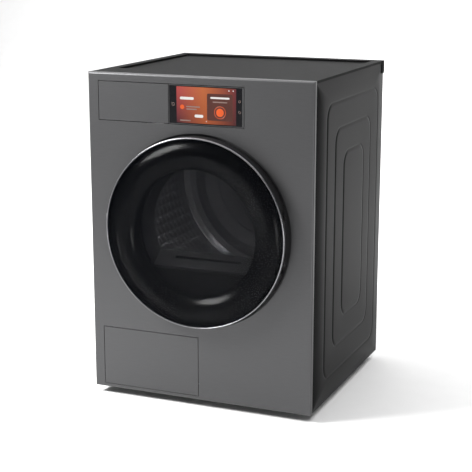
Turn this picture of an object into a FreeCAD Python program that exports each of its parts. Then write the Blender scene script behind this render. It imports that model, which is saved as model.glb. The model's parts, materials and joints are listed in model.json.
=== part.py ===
"""Heat-pump clothes dryer: a parametric FreeCAD document, written out as one STEP file per piece.

Millimetres, +Z up, front towards -Y, +X to the right of someone facing the front. The origin is on
the floor, at the middle of the footprint, with the door's bulge counted in the depth.
"""
import FreeCAD, Part
import math
import os
import Sketcher

DOC = FreeCAD.newDocument("clothes_dryer")
Vec = FreeCAD.Vector

# ---------------------------------------------------------------------------------------------
# Driving dimensions
# ---------------------------------------------------------------------------------------------
DIMENSIONS = [
    ("cabinet_width", 600.0),
    ("cabinet_depth", 570.0),
    ("cabinet_height", 824.0),
    ("foot_height", 18.0),
    ("sheet", 1.2),
    ("wall", 2.5),
    ("panel_flange", 12.0),
    ("panel_edge_radius", 5.0),
    ("side_inset", 3.0),
    ("emboss_step", 1.0),
    ("worktop_height", 12.0),
    ("worktop_inset", 5.0),
    ("back_recess", 20.0),
    ("reveal", 1.5),
    # front openings
    ("console_left", -270.0),
    ("console_right", 121.0),
    ("console_split", -77.5),
    ("console_low", 706.0),
    ("console_high", 802.0),
    ("cover_left", -270.0),
    ("cover_right", -3.5),
    ("cover_low", 11.6),
    ("cover_high", 165.0),
    # door
    ("door_proud", 33.0),
    ("door_height", 440.0),
    ("door_radius", 239.5),
    ("recess_radius", 245.0),
    ("recess_depth", 14.0),
    ("window_radius", 163.0),
    ("hinge_offset", 241.0),
    ("hinge_proud", 17.0),
    ("hinge_pin_radius", 2.5),
    ("scoop_radius", 221.0),
    # loading opening
    ("opening_radius", 163.0),
    ("opening_flat", 99.4),
    ("collar_depth", 87.0),
    ("collar_radius", 240.0),
    # drum
    ("drum_axis", 480.0),
    ("drum_radius", 272.0),
    ("drum_front", 66.0),
    ("drum_rear", 500.0),
    ("drum_mouth_radius", 247.5),
    ("disc_radius", 143.0),
    ("disc_depth", 472.0),
    ("shaft_radius", 12.0),
    ("bulkhead_depth", 524.0),
    ("roller_radius", 25.0),
    ("roller_angle", 35.0),
    ("running_gap", 0.3),
    ("shaft_gap", 0.05),
    # drive
    ("motor_side", 60.0),
    ("motor_height", 87.0),
    ("pulley_radius", 9.0),
    ("belt_depth", 224.0),
    ("belt_width", 10.0),
    ("belt_thickness", 2.4),
    ("fan_radius", 66.0),
]


class Size:
    """A length that knows both its value and the spreadsheet expression it comes from."""

    def __init__(self, value, text=None):
        self.value = float(value)
        self.text = repr(float(value)) if text is None else text

    @staticmethod
    def of(other):
        return other if isinstance(other, Size) else Size(other)

    def joined(self, sign, other, value):
        return Size(value, f"({self.text} {sign} {other.text})")

    def __add__(self, other):
        other = Size.of(other)
        return self.joined("+", other, self.value + other.value)

    def __sub__(self, other):
        other = Size.of(other)
        return self.joined("-", other, self.value - other.value)

    def __mul__(self, other):
        other = Size.of(other)
        return self.joined("*", other, self.value * other.value)

    def __truediv__(self, other):
        other = Size.of(other)
        return self.joined("/", other, self.value / other.value)

    def __radd__(self, other):
        return Size.of(other) + self

    def __rsub__(self, other):
        return Size.of(other) - self

    def __rmul__(self, other):
        return Size.of(other) * self

    def __neg__(self):
        return Size(-self.value, f"(0 - {self.text})")


class Sizes:
    """The spreadsheet's cells as attributes."""


def make_sheet():
    sheet = DOC.addObject("Spreadsheet::Sheet", "dims")
    sizes = Sizes()
    for row, (name, value) in enumerate(DIMENSIONS, start=1):
        sheet.set(f"A{row}", name)
        sheet.set(f"B{row}", str(value))
        sheet.setAlias(f"B{row}", name)
        setattr(sizes, name, Size(value, f"dims.{name}"))
    return sizes


d = make_sheet()
DOC.recompute()

FRONT = (d.door_proud - d.cabinet_depth) / 2
REAR = (d.door_proud + d.cabinet_depth) / 2
LOW = d.foot_height
TOP = d.foot_height + d.cabinet_height
HALF = d.cabinet_width / 2
SIDE = HALF - d.side_inset
AXIS_Z = LOW + d.drum_axis
DOOR_Z = LOW + d.door_height
DRUM_OUT = d.drum_radius + 1.0
MOTOR_Z = LOW + d.motor_height


def depth(value):
    """A place counted back from the front panel's face."""
    return FRONT + value


# ---------------------------------------------------------------------------------------------
# Sketch and feature helpers
# ---------------------------------------------------------------------------------------------
NODES = []
PLANES = {"XY": "XY_Plane", "XZ": "XZ_Plane", "YZ": "YZ_Plane"}


def bind(item, prop, size):
    size = Size.of(size)
    if size.text.startswith(("(", "dims")):
        item.setExpression(prop, size.text)
    else:
        setattr(item, prop, size.value)


def new_body(label):
    body = DOC.addObject("PartDesign::Body", label)
    body.Label = label
    NODES.append(body)
    return body


def new_sketch(body, plane, offset):
    """A sketch on one of the body's origin planes, moved along the plane's normal."""
    sketch = body.newObject("Sketcher::SketchObject", body.Name + "_sketch")
    origin = [f for f in body.Origin.OriginFeatures if f.Role == PLANES[plane]][0]
    sketch.AttachmentSupport = [(origin, "")]
    sketch.MapMode = "FlatFace"
    offset = Size.of(offset)
    sketch.AttachmentOffset = FreeCAD.Placement(Vec(0, 0, offset.value), FreeCAD.Rotation())
    sketch.setExpression("AttachmentOffset.Base.z", offset.text)
    return sketch


def pin_point(sketch, geometry, position, x, y):
    """Hold one point of the sketch at a place given by the sheet."""
    for kind, size in (("DistanceX", Size.of(x)), ("DistanceY", Size.of(y))):
        index = sketch.addConstraint(Sketcher.Constraint(kind, -1, 1, geometry, position, size.value))
        sketch.setExpression(f"Constraints[{index}]", size.text)


def polygon(*points):
    """An outline of straight edges through points given as (x, y)."""

    def draw(sketch):
        first = sketch.GeometryCount
        spots = [Vec(Size.of(x).value, Size.of(y).value, 0) for x, y in points]
        for i, spot in enumerate(spots):
            sketch.addGeometry(Part.LineSegment(spot, spots[(i + 1) % len(spots)]), False)
        for i, (x, y) in enumerate(points):
            previous = first + (i - 1) % len(points)
            sketch.addConstraint(Sketcher.Constraint("Coincident", previous, 2, first + i, 1))
            pin_point(sketch, first + i, 1, x, y)

    return draw


def rectangle(x0, x1, y0, y1):
    return polygon((x0, y0), (x1, y0), (x1, y1), (x0, y1))


def circle(x, y, radius):
    def draw(sketch):
        size = Size.of(radius)
        centre = Vec(Size.of(x).value, Size.of(y).value, 0)
        index = sketch.addGeometry(Part.Circle(centre, Vec(0, 0, 1), size.value), False)
        pin_point(sketch, index, 3, x, y)
        radial = sketch.addConstraint(Sketcher.Constraint("Radius", index, size.value))
        sketch.setExpression(f"Constraints[{radial}]", size.text)

    return draw


def extruded(body, kind, plane, low, high, outlines):
    """Pad or pocket the outlines between two places along the plane's axis."""
    low = Size.of(low)
    high = Size.of(high)
    start = -high if plane == "XZ" else low
    sketch = new_sketch(body, plane, start)
    for draw in outlines:
        draw(sketch)
    feature = body.newObject("PartDesign::" + kind, f"{body.Name}_{kind.lower()}")
    feature.Profile = sketch
    feature.setExpression("Length", (high - low).text)
    if kind == "Pocket":
        feature.Reversed = True
    body.Tip = feature
    return feature


def pad(body, plane, low, high, *outlines):
    return extruded(body, "Pad", plane, low, high, outlines)


def pocket(body, plane, low, high, *outlines):
    """Cut, and check that something was cut away."""
    DOC.recompute()
    before = body.Shape.Volume
    feature = extruded(body, "Pocket", plane, low, high, outlines)
    DOC.recompute()
    if not body.Shape.Volume < before - 0.01:
        raise RuntimeError(f"{body.Label}: a pocket cuts nothing")
    return feature


def block(label, x0, x1, y0, y1, z0, z1):
    body = new_body(label)
    pad(body, "XY", z0, z1, rectangle(x0, x1, y0, y1))
    return body


def turned(label, centre, outline):
    """Revolve an outline of (radius, depth) points about an axis along Y through centre (x, z)."""
    body = new_body(label)
    x, z = Size.of(centre[0]), Size.of(centre[1])
    sketch = new_sketch(body, "XY", 0)
    polygon(*outline)(sketch)
    feature = body.newObject("PartDesign::Revolution", label + "_turned")
    feature.Profile = sketch
    feature.ReferenceAxis = (sketch, ["V_Axis"])
    feature.Angle = 360.0
    body.Tip = feature
    body.Placement = FreeCAD.Placement(Vec(x.value, 0, z.value), FreeCAD.Rotation())
    body.setExpression("Placement.Base.x", x.text)
    body.setExpression("Placement.Base.z", z.text)
    return body


def fillet(body, radius, chosen):
    """Round the edges of the body that the test picks."""
    DOC.recompute()
    tip = body.Tip
    names = [f"Edge{i}" for i, edge in enumerate(tip.Shape.Edges, start=1) if chosen(edge)]
    feature = body.newObject("PartDesign::Fillet", body.Name + "_fillet")
    feature.Base = (tip, names)
    feature.setExpression("Radius", Size.of(radius).text)
    body.Tip = feature
    return feature


def along(edge, axis):
    """Whether a straight edge runs along the X, Y or Z axis (0, 1, 2)."""
    ends = [v.Point for v in edge.Vertexes]
    if len(ends) != 2 or edge.Curve.TypeId != "Part::GeomLine":
        return False
    step = ends[1] - ends[0]
    return abs(abs(step[axis]) - step.Length) < 1e-6


def middle(edge):
    return edge.valueAt((edge.FirstParameter + edge.LastParameter) / 2)


def plain(label, shape, placement=None):
    """A node whose shape comes straight from Part's own functions."""
    node = DOC.addObject("Part::Feature", label)
    node.Label = label
    node.Shape = shape
    if placement is not None:
        node.Placement = placement
    NODES.append(node)
    return node


def rounded_face(x0, x1, y0, y1, radius):
    """A flat rounded rectangle in the XY plane."""
    corners = [(x1, y0, -90), (x1, y1, 0), (x0, y1, 90), (x0, y0, 180)]
    edges = []
    last = None
    for x, y, start in corners:
        cx = x - radius if x == x1 else x + radius
        cy = y - radius if y == y1 else y + radius
        arc = Part.Edge(Part.ArcOfCircle(
            Part.Circle(Vec(cx, cy, 0), Vec(0, 0, 1), radius), math.radians(start), math.radians(start + 90)))
        if last is not None:
            edges.append(Part.makeLine(last, arc.Vertexes[0].Point))
        edges.append(arc)
        last = arc.Vertexes[1].Point
    edges.append(Part.makeLine(last, edges[0].Vertexes[0].Point))
    return Part.Wire(edges)


# ---------------------------------------------------------------------------------------------
# Casing
# ---------------------------------------------------------------------------------------------
def make_front_panel():
    body = new_body("front_panel")
    pad(body, "XY", LOW, TOP, rectangle(-HALF, HALF, FRONT, depth(d.panel_flange)))
    face_y = FRONT.value

    def outer_edge(edge):
        spot = middle(edge)
        return abs(spot.y - face_y) < 1e-6 and (along(edge, 0) or along(edge, 2))

    fillet(body, d.panel_edge_radius, outer_edge)
    inset = d.sheet
    pocket(body, "XZ", depth(d.sheet), depth(d.panel_flange + 1.0),
           rectangle(-HALF + 4.0, HALF - 4.0, LOW + 4.0, TOP - 4.0))
    pocket(body, "XZ", depth(0.0 - 1.0), depth(inset + 1.0),
           rectangle(d.console_left - d.reveal, d.console_right + d.reveal,
                     LOW + d.console_low - d.reveal, LOW + d.console_high + d.reveal),
           rectangle(d.cover_left - d.reveal, d.cover_right + d.reveal,
                     LOW + d.cover_low - d.reveal, LOW + d.cover_high + d.reveal),
           circle(0, DOOR_Z, d.recess_radius))


def make_side_panel(label, side):
    """A pressed sheet with three nested rectangular steps standing outwards."""
    y_front = depth(d.panel_flange + 0.6).value
    y_rear = (REAR - 3.0).value
    low = LOW.value
    high = (TOP - 6.0).value
    steps = [(100.0, 522.0, 56.0, 757.0), (163.0, 455.0, 124.0, 690.0), (228.0, 395.0, 192.0, 625.0)]
    corner = 38.0
    slope = 8.0
    thick = d.sheet.value

    def stepped(shift):
        plate = Part.makeBox(thick, y_rear - y_front, high - low, Vec(0, y_front, low))
        solid = plate.translated(Vec(shift, 0, 0))
        for level, (y0, y1, z0, z1) in enumerate(steps):
            y0, y1 = depth(y0).value, depth(y1).value
            z0, z1 = low + z0, low + z1
            foot = rounded_face(y0, y1, z0, z1, corner)
            head = rounded_face(y0 + slope, y1 - slope, z0 + slope, z1 - slope, corner - slope)
            base_x = thick + level * d.emboss_step.value + shift
            foot.Placement = FreeCAD.Placement(Vec(base_x, 0, 0), FreeCAD.Rotation(Vec(1, 1, 1), 120))
            head.Placement = FreeCAD.Placement(
                Vec(base_x + d.emboss_step.value, 0, 0), FreeCAD.Rotation(Vec(1, 1, 1), 120))
            solid = solid.fuse(Part.makeLoft([foot, head], True, True))
        return solid.removeSplitter()

    shape = stepped(0.0).cut(stepped(-thick))
    trim_notch = Part.makeBox(9.0, 20.0, 40.0, Vec(-4.0, (REAR - 18.5).value, (TOP - 34.5).value))
    shape = shape.cut(trim_notch).translated(Vec(SIDE.value - thick, 0, 0))
    if side < 0:
        shape = shape.mirror(Vec(0, 0, 0), Vec(1, 0, 0))
    plain(label, shape)


def make_worktop():
    frame = new_body("worktop_frame")
    under = TOP - d.worktop_height
    pad(frame, "XY", under + 6.0, TOP, rectangle(-SIDE - 1.0, SIDE + 1.0, depth(d.panel_flange + 0.5), REAR))
    pad(frame, "XY", TOP - 34.0, TOP, rectangle(-SIDE - 2.0, SIDE + 2.0, REAR - 18.0, REAR))
    pocket(frame, "XY", under, TOP + 1.0, rectangle(-SIDE + 24.0, SIDE - 24.0, depth(110.0), REAR - 34.0))
    block("worktop_panel", -SIDE + 24.2, SIDE - 24.2, depth(110.2), REAR - 34.2,
          TOP - d.worktop_inset - 4.0, TOP - d.worktop_inset)


def make_back_panel():
    body = block("back_panel", -SIDE + d.sheet, SIDE - d.sheet, REAR - d.back_recess,
                 REAR - d.back_recess + d.sheet, LOW, TOP - 34.5)
    slots = []
    for row in range(8):
        z = LOW + 90.0 + 14.0 * row
        slots.append(rectangle(-230.0, -60.0, z, z + 5.0))
    pocket(body, "XZ", REAR - d.back_recess - 1.0, REAR - d.back_recess + d.sheet + 1.0, *slots)
    cover = new_body("rear_duct_cover")
    inner = REAR - d.back_recess + d.sheet
    pad(cover, "XZ", inner, REAR - 3.0, circle(0, AXIS_Z, 210.0))
    pocket(cover, "XZ", inner - 1.0, REAR - 3.0 - d.sheet, circle(0, AXIS_Z, 207.0))


ARM_PIVOT = (170.0, 60.0)
ARM_DEPTH = 233.0
COVER_AXIS_BACK = 8.0
COVER_AXIS_UP = 7.5


def make_base():
    body = block("base_tray", -SIDE + d.sheet + 1.0, SIDE - d.sheet - 1.0, depth(26.0),
                 REAR - d.back_recess - 1.0, LOW, LOW + 30.0)
    pocket(body, "XY", LOW + 5.0, LOW + 31.0,
           rectangle(-SIDE + 8.0, SIDE - 8.0, depth(32.0), REAR - d.back_recess - 8.0))
    # the moulded post that the belt tensioner turns on
    x, z = ARM_PIVOT
    pad(body, "XZ", depth(ARM_DEPTH + 12.0), depth(ARM_DEPTH + 18.0),
        rectangle(x - 15.0, x + 15.0, LOW + 4.0, LOW + z + 13.0))
    pad(body, "XZ", depth(ARM_DEPTH - 4.0), depth(ARM_DEPTH + 13.0), circle(x, LOW + z, 5.0))
    # the moulded tongue and its steel pin that the lower cover turns on
    pad(body, "XY", LOW + 15.5, LOW + 24.0,
        rectangle(d.cover_left + 60.0, d.cover_right - 70.0, depth(5.0), depth(27.0)))
    pad(body, "YZ", d.cover_left + 12.0, d.cover_right - 12.0,
        circle(depth(COVER_AXIS_BACK), LOW + d.cover_low + COVER_AXIS_UP, 2.0))


FEET = {
    "foot_front_left": (-1, 105.0),
    "foot_front_right": (1, 105.0),
    "foot_rear_left": (-1, 480.0),
    "foot_rear_right": (1, 480.0),
}
FOOT_SIDE = 195.0


def make_feet():
    stud_radius = 5.0
    foot_bores = []
    for label, (side, back) in FEET.items():
        body = new_body(label)
        x = side * Size.of(FOOT_SIDE)
        y = depth(back)
        pad(body, "XY", 0, LOW - 4.0, circle(x, y, 22.0))
        pad(body, "XY", 0, LOW + 4.8, circle(x, y, stud_radius))
        foot_bores.append(circle(x, y, stud_radius + d.shaft_gap))
    tray = [body for body in NODES if body.Label == "base_tray"][0]
    pocket(tray, "XY", LOW - 1.0, LOW + 6.0, *foot_bores)


# ---------------------------------------------------------------------------------------------
# Bulkheads and the loading opening
# ---------------------------------------------------------------------------------------------
def opening_shape(radius, flat, y0, y1, rise=0.0):
    """The loading opening's tunnel: a circle cut off flat below, its floor rising inwards."""
    low = DOOR_Z.value - flat
    tube = Part.makeCylinder(radius, y1 - y0, Vec(0, y0, DOOR_Z.value), Vec(0, 1, 0))
    under = radius + 20.0
    floor = Part.Face(Part.makePolygon([
        Vec(-under, y0, low), Vec(-under, y1, low + rise), Vec(-under, y1, low - under),
        Vec(-under, y0, low - under), Vec(-under, y0, low)])).extrude(Vec(2 * under, 0, 0))
    return tube.cut(floor)


def make_front_bulkhead():
    radius = d.opening_radius.value
    flat = d.opening_flat.value
    plate_y = depth(d.recess_depth).value
    thick = d.wall.value
    half = SIDE.value - 2.5
    plate = Part.makeBox(2 * half, thick, 620.0, Vec(-half, plate_y, LOW.value + 80.0))
    plate = plate.cut(Part.makeBox(280.0, thick + 2, 95.0, Vec(-SIDE.value, plate_y - 1, LOW.value + 75.0)))
    plate = plate.cut(opening_shape(radius + thick, flat + thick, plate_y - 1, plate_y + thick + 1))
    plain("front_bulkhead", plate)

    inner_y = depth(d.collar_depth).value
    rise = 24.0
    core = opening_shape(radius, flat, plate_y - 5, inner_y + 5, rise * 1.1)
    wall = opening_shape(radius + thick, flat + thick, plate_y, inner_y, rise)
    face_at = Vec(0, inner_y - thick, AXIS_Z.value)
    face = Part.makeCylinder(d.collar_radius.value, thick, face_at, Vec(0, 1, 0))
    rim_at = Vec(0, plate_y + thick, AXIS_Z.value)
    rim = Part.makeCylinder(d.collar_radius.value, inner_y - plate_y - thick, rim_at, Vec(0, 1, 0))
    rim = rim.cut(Part.makeCylinder(d.collar_radius.value - thick, 200, Vec(0, plate_y - 50, AXIS_Z.value),
                                    Vec(0, 1, 0)))
    collar = wall.fuse(face).fuse(rim).cut(core)
    filter_slot = Part.makeBox(181.0, 13.0, 150.0, Vec(-90.5, depth(48.5).value, DOOR_Z.value - flat - 90.0))
    collar = collar.cut(filter_slot)
    plain("loading_collar", collar.removeSplitter())

    seal = opening_shape(radius + 14.0, flat + 14.0, plate_y - 4.0, plate_y)
    seal = seal.cut(opening_shape(radius + 5.0, flat + 5.0, plate_y - 5.0, plate_y + 1))
    plain("door_seal", seal)
    felt_back = d.drum_front + 1.0
    turned("front_felt_ring", (0, AXIS_Z),
           [(d.collar_radius, depth(felt_back - 6.0)),
            (d.drum_mouth_radius - d.running_gap, depth(felt_back - 6.0)),
            (d.drum_mouth_radius - d.running_gap, depth(felt_back + 8.0)),
            (d.collar_radius, depth(felt_back + 8.0))])


def make_lint_filter():
    top = DOOR_Z.value - d.opening_flat.value + 11.0
    case = Part.makeBox(180.0, 12.0, 88.0, Vec(-90.0, depth(49.0).value, top - 88.0))
    for row in range(2):
        for column in range(4):
            window = Part.makeBox(36.0, 20.0, 32.0, Vec(-84.0 + 44.0 * column, depth(47.0).value,
                                                        top - 84.0 + 37.0 * row))
            case = case.cut(window)
    plain("lint_filter", case)


def make_rear_bulkhead():
    back = d.bulkhead_depth
    body = new_body("rear_bulkhead")
    pad(body, "XZ", depth(back), depth(back + 2.0),
        rectangle(-SIDE + 3.0, SIDE - 3.0, LOW + 190.0, LOW + 792.0))
    ports = [circle(0, AXIS_Z, d.shaft_radius + 8.0)]
    for step in range(6):
        angle = math.radians(60.0 * step)
        ports.append(circle(85.0 * math.cos(angle), AXIS_Z + 85.0 * math.sin(angle), 34.0))
    pocket(body, "XZ", depth(back - 1.0), depth(back + 3.0), *ports)
    turned("rear_bearing", (0, AXIS_Z),
           [(d.shaft_radius + d.shaft_gap, depth(back - 8.0)), (d.shaft_radius + 8.0, depth(back - 8.0)),
            (d.shaft_radius + 8.0, depth(back + 14.0)), (d.shaft_radius + d.shaft_gap, depth(back + 14.0))])


# ---------------------------------------------------------------------------------------------
# Drum
# ---------------------------------------------------------------------------------------------
def make_drum():
    mouth = depth(d.drum_front)
    rear = depth(d.drum_rear)
    turned("drum_shell", (0, AXIS_Z),
           [(d.drum_mouth_radius, mouth), (DRUM_OUT, mouth), (DRUM_OUT, rear), (d.drum_radius, rear),
            (d.drum_radius, mouth + 1.0), (d.drum_mouth_radius, mouth + 1.0)])
    disc_back = depth(d.disc_depth + 1.0)
    turned("drum_back", (0, AXIS_Z),
           [(d.drum_radius, rear), (DRUM_OUT, rear), (DRUM_OUT, rear + 1.2), (258.0, rear + 12.0),
            (238.0, rear + 12.0), (216.0, rear - 8.0), (196.0, rear - 18.0), (156.0, rear - 20.0),
            (150.0, disc_back + 1.2), (120.0, disc_back + 1.2), (120.0, disc_back), (149.0, disc_back),
            (155.0, rear - 21.2), (196.5, rear - 19.2), (216.7, rear - 9.0), (238.5, rear + 10.8),
            (257.0, rear + 10.8)])


def make_perforated_disc():
    pitch = 13.0
    hole = 4.2
    limit = d.disc_radius.value - 7.0
    y = depth(d.disc_depth).value
    wires = [Part.Wire(Part.makeCircle(d.disc_radius.value))]
    rows = int(limit / (pitch * 0.866)) + 1
    for row in range(-rows, rows + 1):
        for column in range(-rows - 1, rows + 2):
            u = pitch * (column + 0.5 * (row % 2))
            v = pitch * 0.866 * row
            if math.hypot(u, v) < limit:
                wires.append(Part.Wire(Part.makeCircle(hole, Vec(u, v, 0))))
    disc = Part.Face(wires, "Part::FaceMakerBullseye").extrude(Vec(0, 0, 1.0))
    plain("perforated_disc", disc,
          FreeCAD.Placement(Vec(0, y + 1.0, AXIS_Z.value), FreeCAD.Rotation(Vec(1, 0, 0), 90)))


def make_lifters():
    y0 = depth(d.drum_front + 30.0).value
    y1 = depth(d.drum_rear - 20.0).value
    outer = d.drum_radius.value
    ridge = Part.Face(Part.makePolygon([
        Vec(-30.0, y0, outer - 4.0), Vec(-9.0, y0, outer - 42.0), Vec(9.0, y0, outer - 42.0),
        Vec(30.0, y0, outer - 4.0), Vec(-30.0, y0, outer - 4.0)])).extrude(Vec(0, y1 - y0, 0))
    solids = []
    for angle in (0.0, 120.0, 240.0):
        solid = ridge.copy()
        solid.rotate(Vec(0, 0, 0), Vec(0, 1, 0), angle - 60.0)
        solids.append(solid.translated(Vec(0, 0, AXIS_Z.value)))
    plain("drum_lifters", Part.makeCompound(solids))


def make_spider():
    """The cross that carries the drum's back on its rear shaft."""
    y0 = depth(d.disc_depth + 2.2).value
    axis = Vec(0, 1, 0)
    shape = Part.makeCylinder(26.0, 20.0, Vec(0, y0, AXIS_Z.value), axis)
    for step in range(3):
        arm = Part.makeBox(20.0, 8.0, 146.0, Vec(-10.0, y0, 0.0))
        arm.rotate(Vec(0, 0, 0), axis, 120.0 * step)
        shape = shape.fuse(arm.translated(Vec(0, 0, AXIS_Z.value)))
    length = depth(d.bulkhead_depth + 18.0).value - y0
    shape = shape.fuse(Part.makeCylinder(d.shaft_radius.value, length, Vec(0, y0, AXIS_Z.value), axis))
    plain("drum_spider", shape.removeSplitter())


def make_rollers():
    reach = DRUM_OUT + d.running_gap + d.roller_radius
    spots = []
    for label, side in (("roller_left", -1), ("roller_right", 1)):
        angle = math.radians(d.roller_angle.value)
        x = reach * (side * math.sin(angle))
        z = AXIS_Z - reach * math.cos(angle)
        turned(label, (x, z),
               [(4.0 + d.shaft_gap, depth(74.0)), (d.roller_radius, depth(74.0)),
                (d.roller_radius, depth(92.0)), (4.0 + d.shaft_gap, depth(92.0))])
        spots.append(circle(x, z, 4.0))
    pad(new_body("roller_axles"), "XZ", depth(d.recess_depth + d.wall), depth(98.0), *spots)


# ---------------------------------------------------------------------------------------------
# Drive and airflow
# ---------------------------------------------------------------------------------------------
def make_motor():
    axis = Vec(0, 1, 0)
    at = Vec(d.motor_side.value, 0, MOTOR_Z.value)
    housing = new_body("motor_housing")
    centre = (d.motor_side, MOTOR_Z)
    pad(housing, "XZ", depth(248.0), depth(372.0), circle(*centre, 58.0))
    pocket(housing, "XZ", depth(247.0), depth(373.0), circle(*centre, 8.0 + d.shaft_gap))
    pad(housing, "XZ", depth(260.0), depth(360.0),
        rectangle(d.motor_side - 40.0, d.motor_side + 40.0, LOW + 5.0, MOTOR_Z - 40.0))
    turned("motor_shaft", centre,
           [(0, depth(210.0)), (d.pulley_radius + 3.0, depth(210.0)), (d.pulley_radius + 3.0, depth(216.0)),
            (d.pulley_radius, depth(216.0)), (d.pulley_radius, depth(236.0)), (8.0, depth(236.0)),
            (8.0, depth(430.0)), (0, depth(430.0))])
    fan = new_body("blower_impeller")
    pad(fan, "XZ", depth(426.0), depth(429.0), circle(*centre, d.fan_radius))
    blades = []
    for step in range(12):
        angle = math.radians(30.0 * step)
        x = d.motor_side + 50.0 * math.cos(angle)
        z = MOTOR_Z + 50.0 * math.sin(angle)
        blades.append(circle(x, z, 3.0))
    pad(fan, "XZ", depth(398.0), depth(427.0), circle(*centre, 14.0), *blades)
    pocket(fan, "XZ", depth(390.0), depth(430.0), circle(*centre, 8.0))
    volute = Part.makeCylinder(d.fan_radius.value + 9.0, 48.0, at + Vec(0, depth(388.0).value, 0), axis)
    outlet = Part.makeBox(60.0, 48.0, 110.0, at + Vec(d.fan_radius.value - 51.0, depth(388.0).value, 0))
    hollow = Part.makeCylinder(d.fan_radius.value + 6.0, 42.0, at + Vec(0, depth(391.0).value, 0), axis)
    duct = Part.makeBox(54.0, 42.0, 120.0, at + Vec(d.fan_radius.value - 48.0, depth(391.0).value, 0))
    eye = Part.makeCylinder(36.0, 10.0, at + Vec(0, depth(384.0).value, 0), axis)
    shape = volute.fuse(outlet).cut(hollow.fuse(duct)).cut(eye)
    plain("blower_housing", shape.removeSplitter())


IDLER = (112.0, 138.0)
IDLER_RADIUS = 15.0


def belt_path(circles, inset):
    """A closed path round circles given as (x, z, radius, side); side -1 is a back bend."""
    pieces = []
    count = len(circles)
    tangents = []
    for i in range(count):
        x0, z0, r0, s0 = circles[i]
        x1, z1, r1, s1 = circles[(i + 1) % count]
        r0 = s0 * r0 + inset
        r1 = s1 * r1 + inset
        gap = math.hypot(x1 - x0, z1 - z0)
        heading = math.atan2(z1 - z0, x1 - x0)
        lean = math.acos((r0 - r1) / gap)
        nx, nz = math.cos(heading - lean), math.sin(heading - lean)
        tangents.append((Vec(x0 + r0 * nx, 0, z0 + r0 * nz), Vec(x1 + r1 * nx, 0, z1 + r1 * nz), (nx, nz)))
    for i in range(count):
        start, end, normal = tangents[i]
        pieces.append(Part.makeLine(start, end))
        x, z, r, side = circles[(i + 1) % count]
        after = tangents[(i + 1) % count]
        bisector = (normal[0] + after[2][0], normal[1] + after[2][1])
        size = math.hypot(*bisector)
        reach = side * r + inset
        flip = -1.0 if side > 0 and r > 100.0 else 1.0
        mid = Vec(x + flip * reach * bisector[0] / size, 0, z + flip * reach * bisector[1] / size)
        pieces.append(Part.Arc(end, mid, after[0]).toShape())
    return Part.Wire(Part.__sortEdges__(pieces))


def make_belt_drive():
    gap = d.running_gap.value
    belt = d.belt_thickness.value
    idle = (IDLER[0], LOW.value + IDLER[1])
    circles = [
        (d.motor_side.value, MOTOR_Z.value, d.pulley_radius.value + gap + belt / 2, 1),
        (idle[0], idle[1], IDLER_RADIUS + gap + belt / 2, -1),
        (0.0, AXIS_Z.value, DRUM_OUT.value + gap + belt / 2, 1),
    ]
    outer = belt_path(circles, belt / 2)
    inner = belt_path(circles, -belt / 2)
    face = Part.Face([outer, inner], "Part::FaceMakerBullseye")
    loop = face.extrude(Vec(0, d.belt_width.value, 0))
    plain("drive_belt", loop.translated(Vec(0, depth(d.belt_depth - d.belt_width / 2).value, 0)))

    turned("idler_pulley", (idle[0], Size.of(idle[1])),
           [(4.0 + d.shaft_gap, depth(217.0)), (IDLER_RADIUS, depth(217.0)), (IDLER_RADIUS, depth(231.0)),
            (4.0 + d.shaft_gap, depth(231.0))])
    axis = Vec(0, 1, 0)
    pivot = Vec(ARM_PIVOT[0], 0, LOW.value + ARM_PIVOT[1])
    head = Vec(idle[0], 0, idle[1])
    arm_y = depth(ARM_DEPTH).value
    web = Part.makeBox((head - pivot).Length, 5.0, 18.0, Vec(0, 0, -9.0))
    web.rotate(Vec(0, 0, 0), axis, -math.degrees(math.atan2(head.z - pivot.z, head.x - pivot.x)))
    arm = web.translated(Vec(pivot.x, arm_y, pivot.z))
    arm = arm.fuse(Part.makeCylinder(13.0, 5.0, Vec(pivot.x, arm_y, pivot.z), axis))
    arm = arm.fuse(Part.makeCylinder(4.0, 20.0, Vec(head.x, arm_y - 17.0, head.z), axis))
    arm = arm.cut(Part.makeCylinder(5.0 + d.shaft_gap.value, 9.0, Vec(pivot.x, arm_y - 2.0, pivot.z), axis))
    plain("idler_arm", arm.removeSplitter())
    # the torsion spring's close-wound turns, drawn as one ridged sleeve
    turn = 1.8
    start = ARM_DEPTH + 5.3
    ridges = []
    for i in range(3):
        ridges += [(8.4, depth(start + turn * i)), (9.4, depth(start + turn * (i + 0.5)))]
    end = depth(start + turn * 3)
    turned("idler_spring", (pivot.x, Size.of(pivot.z)),
           ridges + [(8.4, end), (6.6, end), (6.6, depth(start))])


def fin_block(label, x0, x1, y0, y1, z0, z1):
    """Plates threaded on tubes: the finned block of a heat exchanger."""
    pitch = 12.0
    count = int((x1 - x0) / pitch)
    tubes = []
    for row in range(2):
        for column in range(3):
            centre = Vec(x0, y0 + (column + 0.5) * (y1 - y0) / 3, z0 + (row + 0.5) * (z1 - z0) / 2)
            tubes.append(Part.makeCylinder(5.0, count * pitch + 4.0, centre, Vec(1, 0, 0)))
    plates = [Part.makeBox(4.0, y1 - y0, z1 - z0, Vec(x0 + pitch * i, y0, z0)) for i in range(count + 1)]
    shape = plates[0].multiFuse(plates[1:] + tubes)
    plain(label, shape)


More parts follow.
